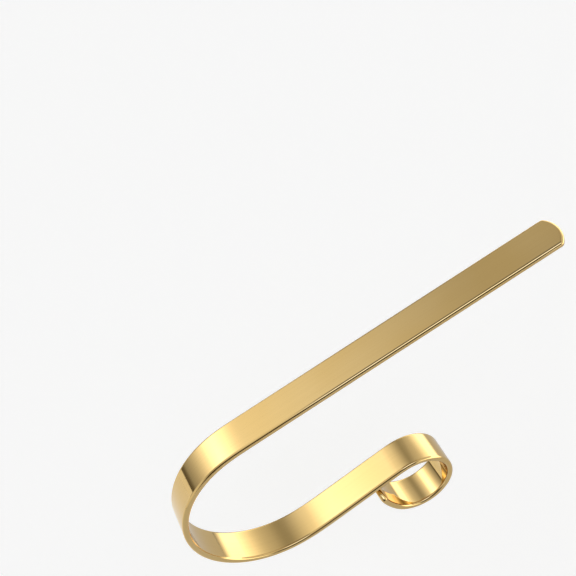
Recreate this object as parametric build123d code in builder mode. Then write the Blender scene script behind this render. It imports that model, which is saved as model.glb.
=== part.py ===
"""Mantel stocking holder: one flat bar bent into a long arm, a C bend and a hanging loop.

The origin is the middle of the arm's underside. +X runs along the arm to its tip, +Y across the bar, +Z up.
"""
import math
import os

from build123d import *

# Flat bar
bar_width = 12.7
bar_thickness = 2.3
edge_radius = 1.0

# Ends of the bar, rounded across its width
end_radius = 9.1
corner_radius = 1.6

# Arm that lies on the mantel
arm_length = 118.1

# Radii at the middle of the bar's thickness: round the mantel's front edge, then round the loop
bend_radius = 31.4
crest_radius = 13.2
curl_radius = 12.5
lip_radius = 27.5

# Lengths of bar after the arm; an ease is the length over which one curvature passes into the next
arm_ease = 10.8
bend_length = 87.0
rise_ease = 18.6
rise_length = 24.6
crest_ease = 7.4
crest_length = 20.4
curl_length = 31.9
lip_length = 11.4
ease_steps = 4

half_width = bar_width / 2


def ease(first, last, length):
    """Split an ease into short arcs whose curvature steps evenly from first to last."""
    step = (last - first) / ease_steps
    return [(first + (i + 0.5) * step, length / ease_steps) for i in range(ease_steps)]


# Curvatures, the loop's turning against the C bend's, and the bar's run from the arm to the lip
bend = 1 / bend_radius
crest = -1 / crest_radius
curl = -1 / curl_radius
lip = -1 / lip_radius
bends = [
    *ease(0, bend, arm_ease),
    (bend, bend_length),
    *ease(bend, 0, rise_ease),
    (0, rise_length),
    *ease(0, crest, crest_ease),
    (crest, crest_length),
    (curl, curl_length),
    (lip, lip_length),
]


def bar_face(depth):
    """Draw one broad face, this far above the arm's underside, and return its first and last lines."""
    run = Line((arm_length / 2, depth), (-arm_length / 2, depth))
    arm = run
    for curvature, length in bends:
        if curvature:
            radius = abs(1 / curvature + depth - bar_thickness / 2)
            run = JernArc(run @ 1, run % 1, radius, math.degrees(curvature * length))
        else:
            run = Line(run @ 1, run @ 1 + length * (run % 1))
    return arm, run


# Outline of one end on the bar's broad face, with eased corners; the bar ends at the origin
with BuildSketch() as round_end:
    with Locations((-end_radius, 0)):
        Circle(end_radius)
    Rectangle(2 * end_radius, bar_width, mode=Mode.INTERSECT)
    fillet(round_end.vertices().group_by(Axis.X)[-1], corner_radius)

with BuildPart() as holder:
    # Bent bar with square edges and ends, from its side view
    with BuildSketch(Plane.XZ):
        with BuildLine():
            under_arm, under_lip = bar_face(0)
            upper_arm, upper_lip = bar_face(bar_thickness)
            Line(under_arm @ 0, upper_arm @ 0)
            Line(under_lip @ 1, upper_lip @ 1)
        make_face()
    extrude(amount=half_width, both=True)

    # Both ends cut to their rounded outline
    lip_end = Plane.XZ.from_local_coords((under_lip @ 1 + upper_lip @ 1) / 2)
    lip_heading = Plane.XZ.from_local_coords(under_lip % 1)
    tip_plane = Plane((arm_length / 2, 0, bar_thickness / 2))
    lip_plane = Plane(lip_end, x_dir=lip_heading, z_dir=lip_heading.cross(Vector(0, 1, 0)))
    with BuildSketch(tip_plane, lip_plane):
        with Locations((edge_radius, 0)):
            Rectangle(end_radius, 2 * bar_width, align=(Align.MAX, Align.CENTER))
        add(round_end.sketch, mode=Mode.SUBTRACT)
    extrude(amount=bar_thickness, both=True, mode=Mode.SUBTRACT)

    # Every edge of both broad faces broken; seams across the bar and down its ends stay as they are
    seams = holder.edges().filter_by(Axis.Y)
    seams += holder.edges().filter_by(GeomType.LINE).filter_by(lambda edge: edge.length < half_width)
    rims = [edge for edge in holder.edges() if edge not in seams]
    fillet(rims, edge_radius)

holder.part.label = "holder"
os.makedirs("parts", exist_ok=True)
export_step(holder.part, "parts/holder.step")
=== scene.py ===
"""Mantel stocking holder in polished gold-plated steel, on a plain pale floor in a soft studio."""
import math

import bpy
from mathutils import Matrix, Vector


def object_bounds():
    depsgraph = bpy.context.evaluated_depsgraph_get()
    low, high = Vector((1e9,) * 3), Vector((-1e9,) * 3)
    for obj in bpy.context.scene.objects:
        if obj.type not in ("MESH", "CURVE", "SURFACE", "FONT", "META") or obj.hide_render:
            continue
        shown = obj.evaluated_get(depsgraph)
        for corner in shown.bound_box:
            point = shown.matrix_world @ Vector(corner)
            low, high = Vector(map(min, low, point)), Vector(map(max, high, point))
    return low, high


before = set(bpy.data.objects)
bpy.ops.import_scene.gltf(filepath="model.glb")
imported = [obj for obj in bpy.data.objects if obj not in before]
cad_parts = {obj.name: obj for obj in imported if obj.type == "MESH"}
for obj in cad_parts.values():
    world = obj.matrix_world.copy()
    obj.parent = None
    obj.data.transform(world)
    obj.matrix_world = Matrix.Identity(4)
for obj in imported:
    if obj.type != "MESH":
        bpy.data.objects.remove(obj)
cad_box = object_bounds()

MM = 0.001

# Camera: where it looks and how far off it stands, its turns, its lens, and how near and far it sees
CAMERA_TARGET = Vector((-21.99, 0.0, 45.74)) * MM
CAMERA_DISTANCE = 304.95 * MM
CAMERA_AZIMUTH = math.radians(1.401)
CAMERA_ELEVATION = math.radians(46.748)
CAMERA_ROLL = math.radians(-33.995)
SENSOR_WIDTH = 36.0
PICTURE_WIDTH = 576
FOCAL_PIXELS = 1073.2
CLIP_NEAR = 10 * MM
CLIP_FAR = 50.0

# Gold plate: its pale and deep tones, the tone and strength of its polishing lines, and its roughness
GOLD_PALE = "#DFC083"
GOLD_DEEP = "#DCBB7A"
GOLD_LINE = "#D3B173"
LINE_STRENGTH = 0.16
SMOOTHEST = 0.05
ROUGHEST = 0.07
# Polishing lines on the plate, and its slow drift of tone
LINE_WIDTH = 0.5 * MM
LINE_LENGTH = 70 * MM
LINE_DETAIL = 3.0
DRIFT_LENGTH = 22 * MM
DRIFT_DETAIL = 1.0
# The middle of a noise's values, where most of them lie
NOISE_ENDS = (0.3, 0.7)
NOISE_CORE = (0.35, 0.65)
# Facet corners nearer than this are one point
SEAM_GAP = 0.001 * MM

# Studio behind the bar: angle from overhead towards the arm's tip, in degrees, and brightness there
SIDE_LIGHT = [
    (-90, 0.15),
    (-80, 0.10),
    (-75, 0.40),
    (-60, 0.70),
    (-45, 1.50),
    (-35, 2.60),
    (-25, 2.80),
    (-15, 1.80),
    (-10, 1.25),
    (5, 0.65),
    (20, 0.30),
    (35, 0.65),
    (55, 0.85),
    (75, 2.00),
    (90, 2.60),
]
# Backdrop between the floor and that light, and where it ends
BACKDROP_LIGHT = 0.97
BACKDROP_ENDS = (-84.0, -83.0)
# Studio overhead and in front, on the tip's side: the direction's share away from the camera, and brightness
FRONT_LIGHT = [
    (-1.0, 0.04),
    (-0.90, 0.05),
    (-0.80, 0.08),
    (-0.72, 0.60),
    (-0.64, 2.40),
    (-0.50, 2.40),
    (-0.42, 0.60),
    (-0.34, 0.22),
    (-0.20, 0.22),
    (1.0, 0.22),
]
# Colour of that light, cooler than the rest
FRONT_TINT = (1.0, 1.1, 1.45)
# The same on the bend's side: the direction's share upwards, and brightness there
FRONT_SHADE = [
    (0.0, 0.05),
    (0.58, 0.10),
    (0.72, 0.38),
    (0.84, 0.74),
    (0.93, 1.00),
    (1.0, 1.05),
]
# Where one part of the studio passes into the next, as a direction's share away from the camera
FRONT_ENDS = (0.25, 0.48)
# The same, as a direction's share towards the tip
FRONT_SPLIT = (-0.09, -0.03)
TIP_ENDS = (0.25, 0.50)
BEND_ENDS = (-0.55, -0.85)
# Even fill light at both ends of the front
FILL_LIGHT = 0.85
# Rise in brightness behind the arm's tip, and where it begins and is full
TIP_LIFT = 0.30
TIP_LIFT_TURN = (8.0, 16.0)
TIP_LIFT_ENDS = (0.55, 0.62)
# Share of the light that is left far behind the bar, and where it begins to fall and is down to that
BACK_LIGHT = 0.55
BACK_ENDS = (0.66, 0.88)
# A colour ramp holds values up to 1, so all levels are written as shares of this one
BRIGHTEST = 4.0
# Below this level the studio turns warmer, by these powers of the share for red, green and blue
WARM_BELOW = 0.40
WARM_POWERS = (0.0, 0.12, 0.45)

# Floor below the holder, and the walls at its edges
FLOOR_DROP = 145 * MM
FLOOR_SIDE = 11.0
FLOOR_WHITE = "#F5F4F0"
FLOOR_GLOW = 0.22
WALL_HEIGHT = 10.0
WALL_GLOW = 0.93
# Cards just above the floor, seen only in the metal: their pale and grey tones are painted shade, a floor
# darker to the front, the right and far behind in its reflections
FLOOR_SHADE_PALE = "#EAEAEB"
FLOOR_SHADE_GREY = "#C8C8CA"
CARD_LIFT = 1 * MM
FRONT_CARD_EDGE = -30 * MM
BACK_CARD_CORNER = (-250 * MM, 300 * MM)
SIDE_CARD_EDGE = -110 * MM
# Softbox beside the tip: its place, its ends and top, its light at the foot and above, and where that rises
PANEL_PLACE = 350 * MM
PANEL_ENDS = (-1.5, 3.0)
PANEL_TOP = 20 * MM
PANEL_FOOT_LIGHT = 0.65
PANEL_LIGHT = 2.40
PANEL_FADE = (-230 * MM, -120 * MM)

# Settings of a node that mixes colours, and the tint that changes none
COLOURS = {"data_type": "RGBA"}
WHITE = (1.0, 1.0, 1.0)


def linear(colour):
    """Turn an sRGB hex colour into linear values."""
    parts = [int(colour[i:i + 2], 16) / 255 for i in (1, 3, 5)]
    return tuple(p / 12.92 if p <= 0.04045 else ((p + 0.055) / 1.055) ** 2.4 for p in parts) + (1.0,)


def node(tree, kind, settings=None, **inputs):
    """Add a node, set it up, and fill its inputs with values or links, by name or as i and a number."""
    made = tree.nodes.new("ShaderNode" + kind)
    for name, value in (settings or {}).items():
        setattr(made, name, value)
    for name, value in inputs.items():
        socket = made.inputs[int(name[1:]) if name[1:].isdigit() else name.replace("_", " ")]
        if isinstance(value, bpy.types.NodeSocket):
            tree.links.new(value, socket)
        else:
            socket.default_value = value
    return made


def fade(tree, place, ends, low=0.0, high=1.0):
    """Pass smoothly from low to high between two places."""
    return node(tree, "MapRange", {"interpolation_type": "SMOOTHSTEP"}, i0=place, From_Min=ends[0],
        From_Max=ends[1], To_Min=low, To_Max=high).outputs[0]


def new_material(name):
    """Add a material with an empty node tree."""
    material = bpy.data.materials.new(name)
    material.use_nodes = True
    material.node_tree.nodes.clear()
    return material, material.node_tree


def gold_plated_steel():
    """Gold plate on polished steel: a warm mirror, with faint lines along the bar left by the polishing."""
    material, tree = new_material("gold_plated_steel_polished")
    place = node(tree, "TexCoord").outputs["Object"]
    # Real polishing lines are finer than a pixel, so these are drawn wider
    along = node(tree, "Mapping", Vector=place, Scale=(1 / LINE_LENGTH, 1 / LINE_WIDTH, 1 / LINE_LENGTH))
    lines = node(tree, "TexNoise", Vector=along.outputs[0], Scale=1.0, Detail=LINE_DETAIL).outputs[0]
    drift = node(tree, "TexNoise", Vector=place, Scale=1 / DRIFT_LENGTH, Detail=DRIFT_DETAIL).outputs[0]
    plate = node(tree, "Mix", COLOURS, i0=fade(tree, drift, NOISE_ENDS), i6=linear(GOLD_PALE),
        i7=linear(GOLD_DEEP))
    lined = node(tree, "Mix", COLOURS, i0=fade(tree, lines, NOISE_CORE, 0.0, LINE_STRENGTH),
        i6=plate.outputs[2], i7=linear(GOLD_LINE))
    metal = node(tree, "BsdfPrincipled", Base_Color=lined.outputs[2], Metallic=1.0,
        Roughness=fade(tree, lines, NOISE_ENDS, SMOOTHEST, ROUGHEST))
    node(tree, "OutputMaterial", Surface=metal.outputs[0])
    return material


def floor_paper():
    """Matt white paper: it takes the holder's shadow, and glows a little to the camera and the metal."""
    material, tree = new_material("floor_paper_white")
    matt = node(tree, "BsdfDiffuse", Color=linear(FLOOR_WHITE))
    rays = node(tree, "LightPath").outputs
    seen = node(tree, "Math", {"operation": "MAXIMUM"}, i0=rays["Is Camera Ray"], i1=rays["Is Glossy Ray"])
    seen = node(tree, "Math", {"operation": "MAXIMUM"}, i0=seen.outputs[0], i1=rays["Is Transmission Ray"])
    level = node(tree, "Math", {"operation": "MULTIPLY"}, i0=seen.outputs[0], i1=FLOOR_GLOW)
    glow = node(tree, "Emission", Strength=level.outputs[0])
    lit = node(tree, "AddShader", i0=matt.outputs[0], i1=glow.outputs[0])
    node(tree, "OutputMaterial", Surface=lit.outputs[0])
    return material


def matt_card(name, colour):
    """Matt card: an even tone for the metal to mirror, painted shade on the floor in its reflections."""
    material, tree = new_material(name)
    matt = node(tree, "BsdfDiffuse", Color=linear(colour))
    node(tree, "OutputMaterial", Surface=matt.outputs[0])
    return material


def wall_paper():
    """Backdrop paper: plain white, evenly lit."""
    material, tree = new_material("wall_paper_white")
    glow = node(tree, "Emission", Strength=WALL_GLOW)
    node(tree, "OutputMaterial", Surface=glow.outputs[0])
    return material


def softbox_cloth():
    """Softbox cloth, lit from inside: bright, and dimmer towards its foot."""
    material, tree = new_material("softbox_cloth")
    place = node(tree, "SeparateXYZ", i0=node(tree, "NewGeometry").outputs["Position"])
    level = fade(tree, place.outputs["Z"], PANEL_FADE, PANEL_FOOT_LIGHT, PANEL_LIGHT)
    glow = node(tree, "Emission", Strength=level)
    node(tree, "OutputMaterial", Surface=glow.outputs[0])
    return material


def studio_colour(level, tint=WHITE):
    """Colour of a part of the studio this bright."""
    share = min(level / WARM_BELOW, 1.0)
    return tuple(level * share ** power * t / BRIGHTEST for power, t in zip(WARM_POWERS, tint)) + (1.0,)


def light_ramp(tree, turn, stops, low, high, tint=WHITE):
    """Read brightness off a list of places and levels, between the lowest and highest place."""
    share = node(tree, "MapRange", i0=turn, From_Min=low, From_Max=high)
    ramp = node(tree, "ValToRGB", Fac=share.outputs[0])
    ramp.color_ramp.interpolation = "B_SPLINE"
    marks = ramp.color_ramp.elements
    while len(marks) > 1:
        marks.remove(marks[-1])
    for i, (place, level) in enumerate(stops):
        place = (place - low) / (high - low)
        mark = marks[0] if i == 0 else marks.new(place)
        mark.position = place
        mark.color = studio_colour(level, tint)
    return ramp.outputs[0]


def studio_world():
    """Two feathered softboxes beside a dim ceiling, and one over the camera between dark gaps."""
    world = bpy.data.worlds.new("studio")
    bpy.context.scene.world = world
    world.use_nodes = True
    tree = world.node_tree
    tree.nodes.clear()
    way = node(tree, "SeparateXYZ", i0=node(tree, "TexCoord").outputs["Generated"])
    x, y, z = way.outputs
    angle = node(tree, "Math", {"operation": "ARCTAN2"}, i0=x, i1=z)
    turn = node(tree, "Math", {"operation": "DEGREES"}, i0=angle.outputs[0]).outputs[0]

    # Behind the bar
    side = node(tree, "Mix", COLOURS, i0=fade(tree, turn, BACKDROP_ENDS), i6=studio_colour(BACKDROP_LIGHT),
        i7=light_ramp(tree, turn, SIDE_LIGHT, -90, 90)).outputs[2]

    # Overhead and in front: the bend's side, the tip's side, then the far ends
    fill = studio_colour(FILL_LIGHT)
    dimmed = node(tree, "Mix", {"blend_type": "DARKEN", **COLOURS}, i0=1.0, i6=side, i7=fill)
    front = node(tree, "Mix", COLOURS, i0=fade(tree, x, FRONT_SPLIT),
        i6=light_ramp(tree, z, FRONT_SHADE, 0, 1), i7=light_ramp(tree, y, FRONT_LIGHT, -1, 1, FRONT_TINT))
    front = node(tree, "Mix", COLOURS, i0=fade(tree, x, TIP_ENDS), i6=front.outputs[2], i7=dimmed.outputs[2])
    front = node(tree, "Mix", COLOURS, i0=fade(tree, x, BEND_ENDS), i6=front.outputs[2], i7=fill)
    both = node(tree, "Mix", COLOURS, i0=fade(tree, y, FRONT_ENDS), i6=front.outputs[2], i7=side)

    # Strength: a rise behind the tip, and a fall far behind the bar
    lift = node(tree, "Math", {"operation": "MULTIPLY"}, i0=fade(tree, turn, TIP_LIFT_TURN),
        i1=fade(tree, y, TIP_LIFT_ENDS, 0.0, TIP_LIFT))
    back = fade(tree, y, BACK_ENDS, BRIGHTEST, BRIGHTEST * BACK_LIGHT)
    strength = node(tree, "Math", {"operation": "MULTIPLY_ADD"}, i0=lift.outputs[0], i1=back, i2=back)
    light = node(tree, "Background", Color=both.outputs[2], Strength=strength.outputs[0])
    node(tree, "OutputWorld", Surface=light.outputs[0])


def photo_camera():
    """Add the camera at the photograph's viewing angle."""
    data = bpy.data.cameras.new("camera")
    data.sensor_width = SENSOR_WIDTH
    data.lens = FOCAL_PIXELS / PICTURE_WIDTH * SENSOR_WIDTH
    data.clip_start = CLIP_NEAR
    data.clip_end = CLIP_FAR
    camera = bpy.data.objects.new("camera", data)
    bpy.context.scene.collection.objects.link(camera)
    heading = Vector((-math.sin(CAMERA_AZIMUTH), math.cos(CAMERA_AZIMUTH), 0.0))
    ahead = math.cos(CAMERA_ELEVATION) * heading - math.sin(CAMERA_ELEVATION) * Vector((0.0, 0.0, 1.0))
    side = Vector((math.cos(CAMERA_AZIMUTH), math.sin(CAMERA_AZIMUTH), 0.0))
    above = side.cross(ahead)
    side, above = (
        math.cos(CAMERA_ROLL) * side + math.sin(CAMERA_ROLL) * above,
        math.cos(CAMERA_ROLL) * above - math.sin(CAMERA_ROLL) * side,
    )
    turn = Matrix((side, above, -ahead)).transposed().to_4x4()
    camera.matrix_world = Matrix.Translation(CAMERA_TARGET - CAMERA_DISTANCE * ahead) @ turn
    bpy.context.scene.camera = camera


def sheet(name, corners, material):
    """Add a flat stage sheet with these four corners."""
    mesh = bpy.data.meshes.new(name)
    mesh.from_pydata(corners, [], [(0, 1, 2, 3)])
    mesh.materials.append(material)
    made = bpy.data.objects.new(name, mesh)
    bpy.context.scene.collection.objects.link(made)
    return made


def level_sheet(name, low, high, z, material):
    """Add a level stage sheet between two corners."""
    corners = [(low[0], low[1], z), (high[0], low[1], z), (high[0], high[1], z), (low[0], high[1], z)]
    return sheet(name, corners, material)


def upright_sheet(name, start, end, low, high, material):
    """Add an upright stage sheet between two places on the floor and two heights."""
    return sheet(name, [(*start, low), (*end, low), (*end, high), (*start, high)], material)


def studio_stage():
    """Add the floor, the cards of painted shade and the softbox that only the metal sees, and walls that
    only the camera sees.
    """
    half = FLOOR_SIDE / 2
    z = cad_box[0].z - FLOOR_DROP
    level_sheet("floor", (-half, -half), (half, half), z, floor_paper())
    # Tones of painted shade on the floor, for the metal to mirror
    pale = matt_card("painted_shade_card_pale", FLOOR_SHADE_PALE)
    grey = matt_card("painted_shade_card_grey", FLOOR_SHADE_GREY)
    card_z = z + CARD_LIFT
    side_corners = [(SIDE_CARD_EDGE, FRONT_CARD_EDGE), (PANEL_PLACE, BACK_CARD_CORNER[1])]
    panel_foot = [(PANEL_PLACE, end) for end in PANEL_ENDS]
    mirrored = [
        level_sheet("front_shade_card", (-half, -half), (half, FRONT_CARD_EDGE), card_z, pale),
        level_sheet("back_shade_card", BACK_CARD_CORNER, (half, half), card_z, grey),
        level_sheet("side_shade_card", *side_corners, card_z, pale),
        upright_sheet("side_softbox", *panel_foot, z, PANEL_TOP, softbox_cloth()),
    ]
    white = wall_paper()
    posts = [(-half, -half), (half, -half), (half, half), (-half, half)]
    walls = [
        upright_sheet("wall", start, end, z, z + WALL_HEIGHT, white)
        for start, end in zip(posts, posts[1:] + posts[:1])
    ]
    for made in mirrored:
        made.visible_camera = False
    for made in walls:
        made.visible_glossy = False
    for made in mirrored + walls:
        made.visible_diffuse = False
        made.visible_shadow = False


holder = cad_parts["holder"]
gold = gold_plated_steel()
for slot in holder.material_slots:
    slot.material = gold
# The bends run into one another without a crease, so light passes over their seams unbroken
holder.modifiers.new("seams", "WELD").merge_threshold = SEAM_GAP
holder.modifiers.new("shading", "WEIGHTED_NORMAL")

studio_stage()
studio_world()
photo_camera()
bpy.context.scene.view_settings.view_transform = "Standard"
